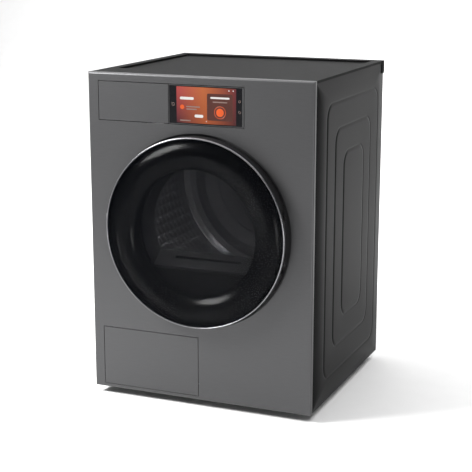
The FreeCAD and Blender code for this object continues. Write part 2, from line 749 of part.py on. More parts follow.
def make_heat_pump():
    floor = LOW.value + 5.0
    fin_block("evaporator", -262.0, -30.0, depth(70.0).value, depth(190.0).value, floor, floor + 125.0)
    fin_block("condenser", -262.0, -30.0, depth(205.0).value, depth(365.0).value, floor, floor + 125.0)
    at = Vec(205.0, depth(430.0).value, floor)
    can = Part.makeCylinder(56.0, 150.0, at)
    can = can.fuse(Part.makeCylinder(30.0, 10.0, at + Vec(0, 0, 150.0)))
    plain("compressor", can.removeSplitter())
    route = [Vec(205.0, depth(430.0).value, floor + 160.0), Vec(205.0, depth(430.0).value, floor + 185.0),
             Vec(120.0, depth(380.0).value, floor + 185.0), Vec(-40.0, depth(380.0).value, floor + 150.0),
             Vec(-40.0, depth(300.0).value, floor + 150.0), Vec(-40.0, depth(300.0).value, floor + 125.0)]
    plain("refrigerant_pipe", tube_along(route, 4.0))
    pump = Part.makeBox(60.0, 60.0, 45.0, Vec(-250.0, depth(440.0).value, floor))
    pump = pump.fuse(Part.makeCylinder(7.0, 12.0, Vec(-220.0, depth(470.0).value, floor + 45.0)))
    plain("condensate_pump", pump.removeSplitter())


def tube_along(points, radius):
    """A round tube along straight runs joined by tangent arcs."""
    edges = []
    start = points[0]
    for before, corner, after in zip(points, points[1:], points[2:]):
        into = (corner - before).normalize()
        out = (after - corner).normalize()
        turn = math.acos(max(-1.0, min(1.0, into.dot(out))))
        shorter = min((corner - before).Length, (after - corner).Length)
        reach = 0.45 * shorter
        first = corner - into * reach
        last = corner + out * reach
        bend = reach / math.tan(turn / 2)
        inward = (out - into).normalize()
        centre = corner + inward * math.hypot(bend, reach)
        middle_point = centre - inward * bend
        edges.append(Part.LineSegment(start, first).toShape())
        edges.append(Part.Arc(first, middle_point, last).toShape())
        start = last
    edges.append(Part.LineSegment(start, points[-1]).toShape())
    path = Part.Wire(edges)
    section = Part.Wire(Part.makeCircle(radius, points[0], (points[1] - points[0]).normalize()))
    return path.makePipeShell([section], True, False)


# ---------------------------------------------------------------------------------------------
# Console: tank drawer and touch display
# ---------------------------------------------------------------------------------------------
def make_console():
    split = d.console_split
    low = LOW + d.console_low
    high = LOW + d.console_high
    block("drawer_front", d.console_left, split - 0.8, depth(0), depth(14.0), low, high)
    tank = new_body("water_tank")
    outline = [(d.console_left + 6.0, low + 6.0), (-178.0, low + 6.0), (-86.0, LOW + 750.0), (-86.0, high - 4.0),
               (d.console_left + 6.0, high - 4.0)]
    pad(tank, "XZ", depth(14.0), depth(430.0), polygon(*outline))
    inner = [(d.console_left + 9.0, low + 9.0), (-179.0, low + 9.0), (-89.0, LOW + 753.0), (-89.0, high - 7.0),
             (d.console_left + 9.0, high - 7.0)]
    pocket(tank, "XZ", depth(17.0), depth(427.0), polygon(*inner))
    pocket(tank, "XY", high - 8.0, high - 3.0, rectangle(-200.0, -140.0, depth(300.0), depth(400.0)))
    frame = block("display_frame", split + 0.8, d.console_right, depth(0), depth(16.0), low, high)
    pocket(frame, "XZ", depth(0.0 - 1.0), depth(5.0),
           rectangle(split + 2.0, d.console_right - 4.0, low + 1.6, high - 1.6))
    pocket(frame, "XZ", depth(8.0), depth(17.0),
           rectangle(split + 6.0, d.console_right - 8.0, low + 6.0, high - 6.0))
    block("display_glass", split + 2.2, d.console_right - 4.2, depth(0.6), depth(4.8), low + 1.8, high - 1.8)


# ---------------------------------------------------------------------------------------------
# Door
# ---------------------------------------------------------------------------------------------
HINGE_HALF = 40.0


def make_door():
    centre = (0, DOOR_Z)
    front = depth(0.0 - d.door_proud)
    ring = turned("door_ring", centre,
                  [(d.window_radius + 12.0, front + 4.5), (d.door_radius - 3.0, front + 4.5),
                   (d.door_radius - 3.0, front), (d.door_radius - 1.5, front), (d.door_radius, front + 2.5),
                   (d.door_radius, depth(0.0 - 0.5)), (d.door_radius - 5.0, depth(6.0)),
                   (d.door_radius - 9.0, depth(6.0)), (d.door_radius - 9.0, front + 8.0),
                   (d.window_radius + 12.0, front + 8.0)])
    notch = rectangle(-d.door_radius - 5.0, -d.door_radius + 10.5, 0.0 - HINGE_HALF - 6.0, HINGE_HALF + 6.0)
    pocket(ring, "XZ", front + 9.0, depth(12.0), notch)
    scoop = rectangle(d.scoop_radius, d.door_radius + 5.0, 0.0 - 80.0, 80.0)
    pocket(ring, "XZ", front + 9.0, depth(12.0), scoop)
    turned("door_glass", centre,
           [(0, front), (d.door_radius - 3.2, front), (d.door_radius - 3.2, front + 4.0), (0, front + 4.0)])
    turned("door_inner_frame", centre,
           [(d.window_radius, front + 8.5), (d.scoop_radius - 1.0, front + 8.5),
            (d.scoop_radius - 1.0, depth(8.0)), (d.window_radius + 4.0, depth(8.0)),
            (d.window_radius + 4.0, depth(2.0)), (d.window_radius, depth(2.0))])
    turned("inner_window", centre,
           [(0, depth(5.0)), (d.window_radius + 3.7, depth(3.0)), (d.window_radius + 3.7, depth(6.0)),
            (0, depth(8.0))])
    grip = new_body("door_handle")
    pad(grip, "XZ", front + 16.0, depth(0.0 - 8.0),
        rectangle(d.scoop_radius + 9.0, d.scoop_radius + 12.0, DOOR_Z - 62.0, DOOR_Z + 62.0))
    pad(grip, "XZ", front + 16.0, depth(0.0 - 8.0),
        rectangle(213.0, d.scoop_radius + 12.0, DOOR_Z + 56.0, DOOR_Z + 62.0))
    pad(grip, "XZ", front + 16.0, depth(0.0 - 8.0),
        rectangle(213.0, d.scoop_radius + 12.0, DOOR_Z - 62.0, DOOR_Z - 56.0))

    pin_y = depth(0.0 - d.hinge_proud)
    pin_x = -d.hinge_offset
    leaf = new_body("hinge_leaf")
    pad(leaf, "XY", DOOR_Z - 20.0, DOOR_Z + 20.0, circle(pin_x, pin_y, 5.0))
    pad(leaf, "XY", DOOR_Z - 20.0, DOOR_Z + 20.0,
        rectangle(pin_x, -d.scoop_radius + 0.9, pin_y - 3.0, pin_y + 3.0))
    pocket(leaf, "XY", DOOR_Z - 21.0, DOOR_Z + 21.0, circle(pin_x, pin_y, d.hinge_pin_radius + d.shaft_gap))
    bracket = new_body("hinge_bracket")
    for low, high in ((-30.0, -21.0), (21.0, 30.0)):
        pad(bracket, "XY", DOOR_Z + low, DOOR_Z + high, circle(pin_x, pin_y, 5.0))
        pad(bracket, "XY", DOOR_Z + low, DOOR_Z + high,
            rectangle(pin_x, pin_x + 5.0, pin_y + 1.0, depth(d.recess_depth)))
    pad(bracket, "XZ", depth(d.recess_depth - 3.0), depth(d.recess_depth),
        rectangle(pin_x, pin_x + 30.0, DOOR_Z - 30.0, DOOR_Z + 30.0))
    pad(bracket, "XY", DOOR_Z - 30.0, DOOR_Z + 30.0, circle(pin_x, pin_y, d.hinge_pin_radius))
    block("door_catch", 190.0, 204.0, depth(8.0), depth(22.0), DOOR_Z - 6.0, DOOR_Z + 6.0)
    lock = block("door_lock", 180.0, 214.0, depth(d.recess_depth + d.wall), depth(40.0),
                 DOOR_Z - 20.0, DOOR_Z + 20.0)
    mouth = rectangle(186.0, 208.0, DOOR_Z - 10.0, DOOR_Z + 10.0)
    pocket(lock, "XZ", depth(10.0), depth(30.0), mouth)
    plate = [node for node in NODES if node.Label == "front_bulkhead"][0]
    catch_slot = Part.makeBox(22.0, 20.0, 20.0, Vec(186.0, depth(8.0).value, DOOR_Z.value - 10.0))
    plate.Shape = plate.Shape.cut(catch_slot)


# ---------------------------------------------------------------------------------------------
# Lower cover, filter cover and rear fittings
# ---------------------------------------------------------------------------------------------
def make_covers():
    axis_y = depth(COVER_AXIS_BACK)
    axis_z = LOW + d.cover_low + COVER_AXIS_UP
    cover = new_body("lower_cover")
    pad(cover, "XZ", depth(0), depth(2.5),
        rectangle(d.cover_left, d.cover_right, LOW + d.cover_low, LOW + d.cover_high))
    for x in (d.cover_left + 20.0, d.cover_right - 30.0):
        pad(cover, "YZ", x, x + 10.0, circle(axis_y, axis_z, 4.0))
        pad(cover, "YZ", x, x + 10.0,
            rectangle(depth(1.0), axis_y, axis_z - 4.0, axis_z + 4.0))
    bore = circle(axis_y, axis_z, 2.0 + d.shaft_gap)
    pocket(cover, "YZ", d.cover_left + 10.0, d.cover_right - 10.0, bore)
    filter_cover = block("filter_cover", d.cover_left + 8.0, d.cover_right - 8.0, depth(34.0), depth(40.0),
                         LOW + 32.0, LOW + 158.0)
    knobs = (d.cover_left + 22.0, d.cover_right - 22.0)
    pocket(filter_cover, "XZ", depth(33.0), depth(41.0),
           *[circle(x, LOW + 95.0, 5.0 + d.shaft_gap) for x in knobs])
    for label, x in zip(("lock_lever_left", "lock_lever_right"), knobs):
        lever = new_body(label)
        pad(lever, "XZ", depth(24.0), depth(33.5), rectangle(x - 6.0, x + 6.0, LOW + 78.0, LOW + 112.0))
        pad(lever, "XZ", depth(33.0), depth(48.0), circle(x, LOW + 95.0, 5.0))


def make_rear_fittings():
    back = REAR - d.back_recess + d.sheet
    block("mains_inlet", 214.0, 250.0, back, back + 14.0, LOW + 60.0, LOW + 90.0)
    spigot = new_body("drain_spigot")
    pad(spigot, "XZ", back, back + 3.0, circle(-262.0, LOW + 50.0, 16.0))
    pad(spigot, "XZ", back, REAR - 1.0, circle(-262.0, LOW + 50.0, 8.0))
    pocket(spigot, "XZ", back - 1.0, REAR + 1.0, circle(-262.0, LOW + 50.0, 6.0))
    screws = new_body("back_screws")
    heads = []
    for x in (-285.0, -95.0, 95.0, 285.0):
        for z in (12.0, 740.0):
            heads.append(circle(x, LOW + z, 5.0))
    pad(screws, "XZ", back, back + 3.0, *heads)


def build():
    make_front_panel()
    make_side_panel("left_side_panel", -1)
    make_side_panel("right_side_panel", 1)
    make_worktop()
    make_back_panel()
    make_base()
    make_feet()
    make_front_bulkhead()
    make_lint_filter()
    make_rear_bulkhead()
    make_drum()
    make_perforated_disc()
    make_lifters()
    make_spider()
    make_rollers()
    make_motor()
    make_belt_drive()
    make_heat_pump()
    make_console()
    make_door()
    make_covers()
    make_rear_fittings()


def write_parts():
    DOC.recompute()
    for item in DOC.Objects:
        if "Invalid" in item.State or "Error" in item.State:
            raise RuntimeError(f"{item.Label} did not build: {item.State}")
    os.makedirs("parts", exist_ok=True)
    for node in NODES:
        shape = node.Shape
        if shape.isNull() or not shape.isValid() or not shape.Solids:
            raise RuntimeError(f"{node.Label} has no valid solid")
        shape.exportStep(f"parts/{node.Label}.step")
        box = shape.BoundBox
        print(f"{node.Label:22s} solids {len(shape.Solids):3d} x {box.XMin:7.1f} {box.XMax:7.1f} "
              f"y {box.YMin:7.1f} {box.YMax:7.1f} z {box.ZMin:6.1f} {box.ZMax:6.1f}")
    print(len(NODES), "pieces")


build()
write_parts()
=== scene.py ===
"""Studio scene of the clothes dryer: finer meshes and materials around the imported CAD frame."""
import json
import math
import bmesh
import bpy
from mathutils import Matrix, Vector


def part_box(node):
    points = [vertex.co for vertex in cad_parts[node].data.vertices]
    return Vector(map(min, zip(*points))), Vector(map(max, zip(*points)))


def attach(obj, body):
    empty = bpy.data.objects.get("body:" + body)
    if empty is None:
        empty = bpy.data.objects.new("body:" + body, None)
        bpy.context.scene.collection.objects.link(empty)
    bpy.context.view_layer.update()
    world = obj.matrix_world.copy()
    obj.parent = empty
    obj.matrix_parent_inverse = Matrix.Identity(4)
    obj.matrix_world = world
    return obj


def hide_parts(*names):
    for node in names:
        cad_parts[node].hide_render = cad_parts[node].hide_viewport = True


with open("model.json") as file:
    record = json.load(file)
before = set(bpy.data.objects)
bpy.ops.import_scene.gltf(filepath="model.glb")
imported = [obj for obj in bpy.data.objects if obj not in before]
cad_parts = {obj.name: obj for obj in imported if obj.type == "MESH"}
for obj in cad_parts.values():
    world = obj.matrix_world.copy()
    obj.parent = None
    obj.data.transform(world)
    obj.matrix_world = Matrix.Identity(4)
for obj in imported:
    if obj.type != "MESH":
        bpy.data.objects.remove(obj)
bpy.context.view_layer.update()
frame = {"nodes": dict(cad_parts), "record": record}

# ---------------------------------------------------------------------------------------------
# Places taken from the frame, in metres
# ---------------------------------------------------------------------------------------------
MM = 0.001
SHEET = 1 * MM
BODY_OF = {node: body for body, nodes in frame["record"]["behaviour"]["bodies"].items() for node in nodes}
PANEL_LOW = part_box("front_panel")[0]
LEFT_X = PANEL_LOW[0]
FRONT_Y = PANEL_LOW[1]
BASE_Z = PANEL_LOW[2]
GLASS_LOW, GLASS_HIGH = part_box("door_glass")
RING_LOW, RING_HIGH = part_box("door_ring")
DOOR_Z = (GLASS_LOW[2] + GLASS_HIGH[2]) / 2
DOOR_R = (RING_HIGH[2] - RING_LOW[2]) / 2
GLASS_Y = GLASS_LOW[1]
SHELL_LOW, SHELL_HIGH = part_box("drum_shell")
DRUM_Z = (SHELL_LOW[2] + SHELL_HIGH[2]) / 2
DRUM_R = (SHELL_HIGH[0] - SHELL_LOW[0]) / 2 - SHEET
SCREEN_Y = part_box("display_glass")[0][1]


# ---------------------------------------------------------------------------------------------
# Materials
# ---------------------------------------------------------------------------------------------
def material(name, metallic=0.0, roughness=0.5, **sockets):
    """A Principled material with its uniform numbers on the shader's own sockets."""
    made = bpy.data.materials.new(name)
    made.use_nodes = True
    shader = made.node_tree.nodes["Principled BSDF"]
    shader.inputs["Metallic"].default_value = metallic
    shader.inputs["Roughness"].default_value = roughness
    for key, value in sockets.items():
        shader.inputs[key.replace("_", " ").title().replace("Ior", "IOR")].default_value = value
    return made, made.node_tree, shader


NOISE_DETAIL = 3.0
GRAIN_BUMP = 0.3
GRAIN_STOPS = (0.3, 0.7)


def noise(tree, scale, stretch=(1.0, 1.0, 1.0)):
    """Noise in object space, stretched along an axis for brushed or rolled surfaces."""
    coordinates = tree.nodes.new("ShaderNodeTexCoord")
    mapping = tree.nodes.new("ShaderNodeMapping")
    mapping.inputs["Scale"].default_value = stretch
    texture = tree.nodes.new("ShaderNodeTexNoise")
    texture.inputs["Scale"].default_value = scale
    texture.inputs["Detail"].default_value = NOISE_DETAIL
    tree.links.new(coordinates.outputs["Object"], mapping.inputs["Vector"])
    tree.links.new(mapping.outputs["Vector"], texture.inputs["Vector"])
    return texture.outputs["Fac"]


def ramp(tree, source, stops):
    """A colour ramp fed by a number."""
    node = tree.nodes.new("ShaderNodeValToRGB")
    while len(node.color_ramp.elements) < len(stops):
        node.color_ramp.elements.new(0.5)
    for element, (place, colour) in zip(node.color_ramp.elements, stops):
        element.position = place
        element.color = (*colour, 1.0)
    tree.links.new(source, node.inputs["Fac"])
    return node.outputs["Color"]


def shade(tree, source, dark, light):
    """Two colours mixed by a noise value."""
    return ramp(tree, source, list(zip(GRAIN_STOPS, (dark, light))))


def scaled(colour, factor):
    return tuple(min(1.0, channel * factor) for channel in colour)


def ranged(tree, source, low, high):
    """A number moved from 0..1 to low..high."""
    node = tree.nodes.new("ShaderNodeMapRange")
    node.inputs["To Min"].default_value = low
    node.inputs["To Max"].default_value = high
    tree.links.new(source, node.inputs["Value"])
    return node.outputs["Result"]


def bump(tree, shader, source, distance):
    """A fine height added to the surface normal."""
    node = tree.nodes.new("ShaderNodeBump")
    node.inputs["Strength"].default_value = GRAIN_BUMP
    node.inputs["Distance"].default_value = distance
    tree.links.new(source, node.inputs["Height"])
    tree.links.new(node.outputs["Normal"], shader.inputs["Normal"])


def grained(name, colour, spread, metallic, roughness, scale, stretch=(1, 1, 1), depth=0.02 * MM, **sockets):
    """A surface whose colour, gloss and height follow one fine grain."""
    made, tree, shader = material(name, metallic, roughness, **sockets)
    grain = noise(tree, scale, stretch)
    colours = shade(tree, grain, scaled(colour, 1 - spread), scaled(colour, 1 + spread))
    tree.links.new(colours, shader.inputs["Base Color"])
    tree.links.new(ranged(tree, grain, roughness * 0.9, roughness * 1.12), shader.inputs["Roughness"])
    bump(tree, shader, grain, depth)
    return made


INOX = grained("brushed_dark_inox", (0.075, 0.075, 0.077), 0.05, 0.75, 0.42, 60.0, (0.6, 1.0, 14.0))
DOOR_METAL = grained("door_ring_metal", (0.10, 0.10, 0.105), 0.05, 0.9, 0.30, 180.0)
GRIP_METAL = grained("grip_metal", (0.22, 0.22, 0.23), 0.04, 0.95, 0.24, 160.0)
SIDE_PAINT = grained("graphite_paint", (0.004, 0.004, 0.0042), 0.06, 0.0, 0.40, 700.0, ior=1.12)
TOP_PAINT = grained("worktop_paint", (0.004, 0.004, 0.0042), 0.08, 0.0, 0.55, 500.0, ior=1.10)
BLACK_GLOSS = grained("black_gloss_plastic", (0.003, 0.003, 0.0035), 0.1, 0.0, 0.2, 300.0, depth=0.0005 * MM)
BLACK_MATTE = grained("black_moulded_plastic", (0.022, 0.022, 0.024), 0.15, 0.0, 0.5, 900.0, depth=0.05 * MM)
GREY_PLASTIC = grained("grey_moulded_plastic", (0.10, 0.10, 0.105), 0.1, 0.0, 0.5, 800.0, depth=0.05 * MM)
RUBBER = grained("rubber", (0.018, 0.018, 0.018), 0.15, 0.0, 0.75, 900.0, depth=0.05 * MM)
FELT = grained("felt", (0.35, 0.34, 0.32), 0.25, 0.0, 0.95, 1500.0, depth=0.3 * MM)
ZINC = grained("zinc_coated_steel", (0.36, 0.37, 0.38), 0.12, 0.9, 0.38, 90.0)
DRUM_STEEL = grained("drum_steel", (0.42, 0.42, 0.43), 0.05, 0.9, 0.34, 120.0, (1.0, 6.0, 1.0))
COPPER = grained("copper", (0.75, 0.36, 0.22), 0.12, 0.95, 0.32, 150.0)
BRONZE = grained("sintered_bronze", (0.48, 0.32, 0.14), 0.15, 0.9, 0.45, 500.0)
FINS = grained("fin_aluminium", (0.72, 0.73, 0.74), 0.08, 0.9, 0.35, 200.0)
CASTING = grained("cast_aluminium", (0.45, 0.45, 0.46), 0.15, 0.85, 0.5, 350.0, depth=0.1 * MM)
COMPRESSOR_PAINT = grained("black_enamel", (0.015, 0.015, 0.016), 0.1, 0.1, 0.28, 250.0)


def glass(name, colour, alpha, roughness):
    """Tinted glass: a glossy face that lets part of the light through."""
    made, tree, shader = material(name, 0.0, roughness, alpha=alpha, ior=1.25)
    shader.inputs["Specular IOR Level"].default_value = 0.16
    tint = shade(tree, noise(tree, 4.0), scaled(colour, 0.8), colour)
    tree.links.new(tint, shader.inputs["Base Color"])
    return made


DOOR_GLASS = glass("tinted_door_glass", (0.0015, 0.0018, 0.0026), 0.45, 0.1)
WINDOW_GLASS = glass("inner_glass", (0.05, 0.05, 0.055), 0.12, 0.05)
SCREEN_GLASS = grained("screen_glass", (0.004, 0.004, 0.005), 0.1, 0.0, 0.08, 100.0)

MATERIAL_OF = {
    "front_panel": INOX, "drawer_front": INOX, "lower_cover": INOX, "display_frame": INOX,
    "display_glass": SCREEN_GLASS,
    "left_side_panel": SIDE_PAINT, "right_side_panel": SIDE_PAINT,
    "worktop_frame": TOP_PAINT, "worktop_panel": TOP_PAINT,
    "door_ring": DOOR_METAL, "door_handle": GRIP_METAL, "door_glass": DOOR_GLASS,
    "inner_window": WINDOW_GLASS, "door_inner_frame": BLACK_GLOSS, "door_catch": GREY_PLASTIC,
    "front_bulkhead": BLACK_MATTE, "loading_collar": GREY_PLASTIC,
    "door_seal": RUBBER, "front_felt_ring": FELT,
    "drum_shell": DRUM_STEEL, "drum_back": DRUM_STEEL, "perforated_disc": DRUM_STEEL,
    "drum_lifters": GREY_PLASTIC, "lint_filter": GREY_PLASTIC, "water_tank": GREY_PLASTIC,
    "drive_belt": RUBBER, "rear_bearing": BRONZE, "refrigerant_pipe": COPPER,
    "evaporator": FINS, "condenser": FINS, "motor_housing": CASTING, "compressor": COMPRESSOR_PAINT,
    "blower_housing": GREY_PLASTIC, "blower_impeller": GREY_PLASTIC, "condensate_pump": GREY_PLASTIC,
    "base_tray": BLACK_MATTE, "filter_cover": GREY_PLASTIC, "lock_lever_left": BLACK_MATTE,
    "lock_lever_right": BLACK_MATTE, "mains_inlet": BLACK_MATTE, "drain_spigot": GREY_PLASTIC,
    "roller_left": GREY_PLASTIC, "roller_right": GREY_PLASTIC, "idler_pulley": BLACK_MATTE,
    "foot_front_left": RUBBER, "foot_front_right": RUBBER,
    "foot_rear_left": RUBBER, "foot_rear_right": RUBBER,
}


def paint(item, made):
    """One material in place of whatever the object had."""
    item.data.materials.clear()
    item.data.materials.append(made)


for node, item in frame["nodes"].items():
    paint(item, MATERIAL_OF.get(node, ZINC))


# ---------------------------------------------------------------------------------------------
# Mesh helpers
# ---------------------------------------------------------------------------------------------
def piece_from(name, vertices, faces, made, body, smooth=True):
    """A new piece from points and faces, riding a body of the frame."""
    mesh = bpy.data.meshes.new(name)
    mesh.from_pydata(vertices, [], faces)
    mesh.update()
    work = bmesh.new()
    work.from_mesh(mesh)
    bmesh.ops.recalc_face_normals(work, faces=work.faces)
    work.to_mesh(mesh)
    work.free()
    item = bpy.data.objects.new(name, mesh)
    bpy.context.scene.collection.objects.link(item)
    for polygon in mesh.polygons:
        polygon.use_smooth = smooth
    paint(item, made)
    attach(item, body)
    return item


def bevelled(item, width):
    """Rounds the sharp edges of a piece."""
    edge = item.modifiers.new("soft_edges", "BEVEL")
    edge.width = width
    edge.segments = 3
    edge.limit_method = "ANGLE"
    edge.angle_limit = math.radians(35.0)


def swept(name, sections, made, body, closed=True, capped=False):
    """A skin over matching rings of points."""
    count = len(sections[0])
    vertices = [point for ring in sections for point in ring]
    faces = []
    spans = len(sections) if closed else len(sections) - 1
    for i in range(spans):
        j = (i + 1) % len(sections)
        for k in range(count):
            m = (k + 1) % count
            faces.append((i * count + k, i * count + m, j * count + m, j * count + k))
    if capped:
        faces.append(tuple(range(count)))
        faces.append(tuple(len(vertices) - count + k for k in range(count)))
    return piece_from(name, vertices, faces, made, body)


def turned(name, profile, centre_z, made, body, steps):
    """A closed (radius, y) profile turned about an axis along Y at x = 0."""
    angles = [2 * math.pi * i / steps for i in range(steps)]
    rings = [[(r * math.cos(a), y, centre_z + r * math.sin(a)) for r, y in profile] for a in angles]
    return swept(name, rings, made, body)


def rounded_outline(x0, x1, z0, z1, radius, steps=8):
    """A rectangle with round corners, each an arc of so many steps."""
    points = []
    corners = ((x1 - radius, z0 + radius, -90), (x1 - radius, z1 - radius, 0),
               (x0 + radius, z1 - radius, 90), (x0 + radius, z0 + radius, 180))
    for cx, cz, start in corners:
        for i in range(steps + 1):
            a = math.radians(start + 90.0 * i / steps)
            points.append((cx + radius * math.cos(a), cz + radius * math.sin(a)))
    return points


def tile(name, outline, y, thick, made, body="cabinet", hole=None):
    """A thin plate facing the front, with an optional concentric hole outline."""
    count = len(outline)
    front, back = y, y + thick
    if hole:
        loops = [[(x, depth, z) for x, z in edge]
                 for edge, depth in ((outline, front), (outline, back), (hole, back), (hole, front))]
        return swept(name, list(zip(*loops)), made, body)
    vertices = [(x, depth, z) for depth in (front, back) for x, z in outline]
    faces = [tuple(range(count)), tuple(range(count, 2 * count))]
    faces += [(i, (i + 1) % count, count + (i + 1) % count, count + i) for i in range(count)]
    return piece_from(name, vertices, faces, made, body, smooth=False)


def circle(cx, cz, radius, steps=48):
    """Points round a circle that faces the front."""
    angles = [2 * math.pi * i / steps for i in range(steps)]
    return [(cx + radius * math.cos(a), cz + radius * math.sin(a)) for a in angles]


# ---------------------------------------------------------------------------------------------
# Side panels: three nested raised fields, each with a groove at its foot
# ---------------------------------------------------------------------------------------------
# back from the front and up from the casing's foot, in mm: start, end, bottom, top
SIDE_FIELDS = ((100, 522, 56, 757), (163, 455, 124, 690), (228, 395, 192, 625))
FIELD_CORNER = 38 * MM
FIELD_RISE = 1 * MM
SHEET_EDGE = 0.8 * MM
SHEET_CORNER = 2 * MM
# one step from the outside in, in mm: how far outside the field's edge, how high
STEP_PROFILE = ((5.0, 0.0), (3.2, -0.05), (1.6, -0.55), (0.0, -0.7), (-1.6, -0.45), (-3.0, 0.05),
                (-5.5, 0.65), (-8.0, 0.93), (-10.5, 1.0))


def side_panel(node, side):
    """A pressed side: flat border, then three fields that each stand 1 mm further out."""
    low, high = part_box(node)
    inner_x = min(abs(low[0]), abs(high[0]))
    outer_x = max(abs(low[0]), abs(high[0]))
    base_x = outer_x - len(SIDE_FIELDS) * FIELD_RISE

    def ring(y0, y1, z0, z1, grow, radius, x):
        outline = rounded_outline(y0 - grow, y1 + grow, z0 - grow, z1 + grow, radius)
        return [(side * x, y, z) for y, z in outline]

    edges = (low[1], high[1], low[2], high[2])
    rings = [
        ring(*edges, 0.0, SHEET_CORNER, inner_x),
        ring(*edges, 0.0, SHEET_CORNER, base_x - SHEET_EDGE),
        ring(*edges, -SHEET_EDGE, SHEET_CORNER, base_x),
    ]
    for count, (start, end, bottom, top) in enumerate(SIDE_FIELDS):
        field = (FRONT_Y + start * MM, FRONT_Y + end * MM, BASE_Z + bottom * MM, BASE_Z + top * MM)
        for outside, height in STEP_PROFILE:
            grow = outside * MM
            x = base_x + count * FIELD_RISE + height * MM
            rings.append(ring(*field, grow, FIELD_CORNER + grow, x))
    item = swept("relief_" + node, rings, SIDE_PAINT, BODY_OF[node], closed=False, capped=True)
    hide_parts(node)


side_panel("left_side_panel", -1)
side_panel("right_side_panel", 1)


# ---------------------------------------------------------------------------------------------
# Drum shell with its pressed diamond pattern
# ---------------------------------------------------------------------------------------------
DRUM_AROUND = 560
DRUM_ALONG = 140
DIMPLES_AROUND = 35
DIMPLE_ROWS = 9
DIMPLE_DEPTH = 3 * MM
FADE_ROWS = 6


def drum_ring(y, radius_at):
    """A ring of the shell at depth y, with its radius worked out for each angle."""
    angles = [2 * math.pi * i / DRUM_AROUND for i in range(DRUM_AROUND)]
    return [(radius_at(a) * math.cos(a), y, DRUM_Z + radius_at(a) * math.sin(a)) for a in angles]


def dimpled_drum():
    """The shell's pressed inner face and its plain outer face."""
    front, rear = SHELL_LOW[1], SHELL_HIGH[1]
    rings = []
    for j in range(DRUM_ALONG + 1):
        fade = min(1.0, j / FADE_ROWS, (DRUM_ALONG - j) / FADE_ROWS)
        row_wave = math.cos(2 * math.pi * DIMPLE_ROWS * j / DRUM_ALONG)

        def pressed(a, reach=fade * DIMPLE_DEPTH, row_wave=row_wave):
            return DRUM_R - reach * abs(math.cos(DIMPLES_AROUND * a) * row_wave)

        rings.append(drum_ring(front + (rear - front) * j / DRUM_ALONG, pressed))
    for y in (rear, front):
        rings.append(drum_ring(y, lambda a: DRUM_R + SHEET))
    item = swept("dimpled_drum_shell", rings, DRUM_STEEL, "drum")
    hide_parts("drum_shell")


dimpled_drum()


# ---------------------------------------------------------------------------------------------
# Door: bright chamfer round the glass, ceramic border behind it, grip lip
# ---------------------------------------------------------------------------------------------
GLASS_R = (GLASS_HIGH[2] - GLASS_LOW[2]) / 2
WINDOW_R = 163 * MM
WINDOW_DROP = 2 * MM
LIP_BOTTOM = BASE_Z + 407 * MM
LIP_TOP = BASE_Z + 492 * MM


def glass_trim():
    """The bright chamfer between the glass and the door's rim."""
    inner = GLASS_R + 0.2 * MM
    rim = DOOR_R + 0.2 * MM
    profile = [
        (inner, GLASS_Y - 0.1 * MM),
        (GLASS_R + 1.4 * MM, GLASS_Y - 0.5 * MM),
        (DOOR_R - 0.5 * MM, GLASS_Y + 0.5 * MM),
        (rim, GLASS_Y + 2.0 * MM),
        (rim, GLASS_Y + 3.5 * MM),
        (inner, GLASS_Y + 3.5 * MM),
    ]
    turned("glass_trim", profile, DOOR_Z, GRIP_METAL, "door", steps=288)


def ceramic_border():
    """The opaque black ring behind the glass, round the window."""
    front, back = GLASS_Y + 4.2 * MM, GLASS_Y + 5.2 * MM
    outer = GLASS_R - 1 * MM
    profile = [(WINDOW_R, front), (outer, front), (outer, back), (WINDOW_R, back)]
    turned("ceramic_border", profile, DOOR_Z - WINDOW_DROP, BLACK_GLOSS, "door", steps=240)


def grip_lip():
    """The bright upright lip at the edge of the finger scoop."""
    handle_low, handle_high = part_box("door_handle")
    outline = rounded_outline(handle_high[0] - 3.2 * MM, handle_high[0] + 0.6 * MM, LIP_BOTTOM, LIP_TOP,
                              1.5 * MM, 5)
    lip = tile("grip_lip", outline, handle_low[1] - 6 * MM, 9 * MM, GRIP_METAL, "door")
    bevelled(lip, 0.8 * MM)


glass_trim()
ceramic_border()
grip_lip()


# ---------------------------------------------------------------------------------------------
# Display: lit picture with generic symbols only
# ---------------------------------------------------------------------------------------------
def glow(name, colour, strength):
    """A lit patch whose brightness wavers very slightly across it."""
    made, tree, shader = material(name, 0.0, 0.3)
    shader.inputs["Emission Strength"].default_value = strength
    waver = noise(tree, 30.0)
    tree.links.new(shade(tree, waver, scaled(colour, 0.92), colour), shader.inputs["Emission Color"])
    tree.links.new(shade(tree, waver, (0, 0, 0), scaled(colour, 0.05)), shader.inputs["Base Color"])
    return made


def screen_at(x, z):
    """A place on the front, from mm right of the casing's left edge and mm above its foot."""
    return LEFT_X + x * MM, BASE_Z + z * MM


PICTURE_LEFT, PICTURE_LOW = screen_at(244, 710)
PICTURE_RIGHT, PICTURE_TOP = screen_at(401, 798)


def share(tree, source, start, end):
    """0 at start and 1 at end of a coordinate."""
    node = tree.nodes.new("ShaderNodeMapRange")
    node.inputs["From Min"].default_value = start
    node.inputs["From Max"].default_value = end
    tree.links.new(source, node.inputs["Value"])
    return node.outputs["Result"]


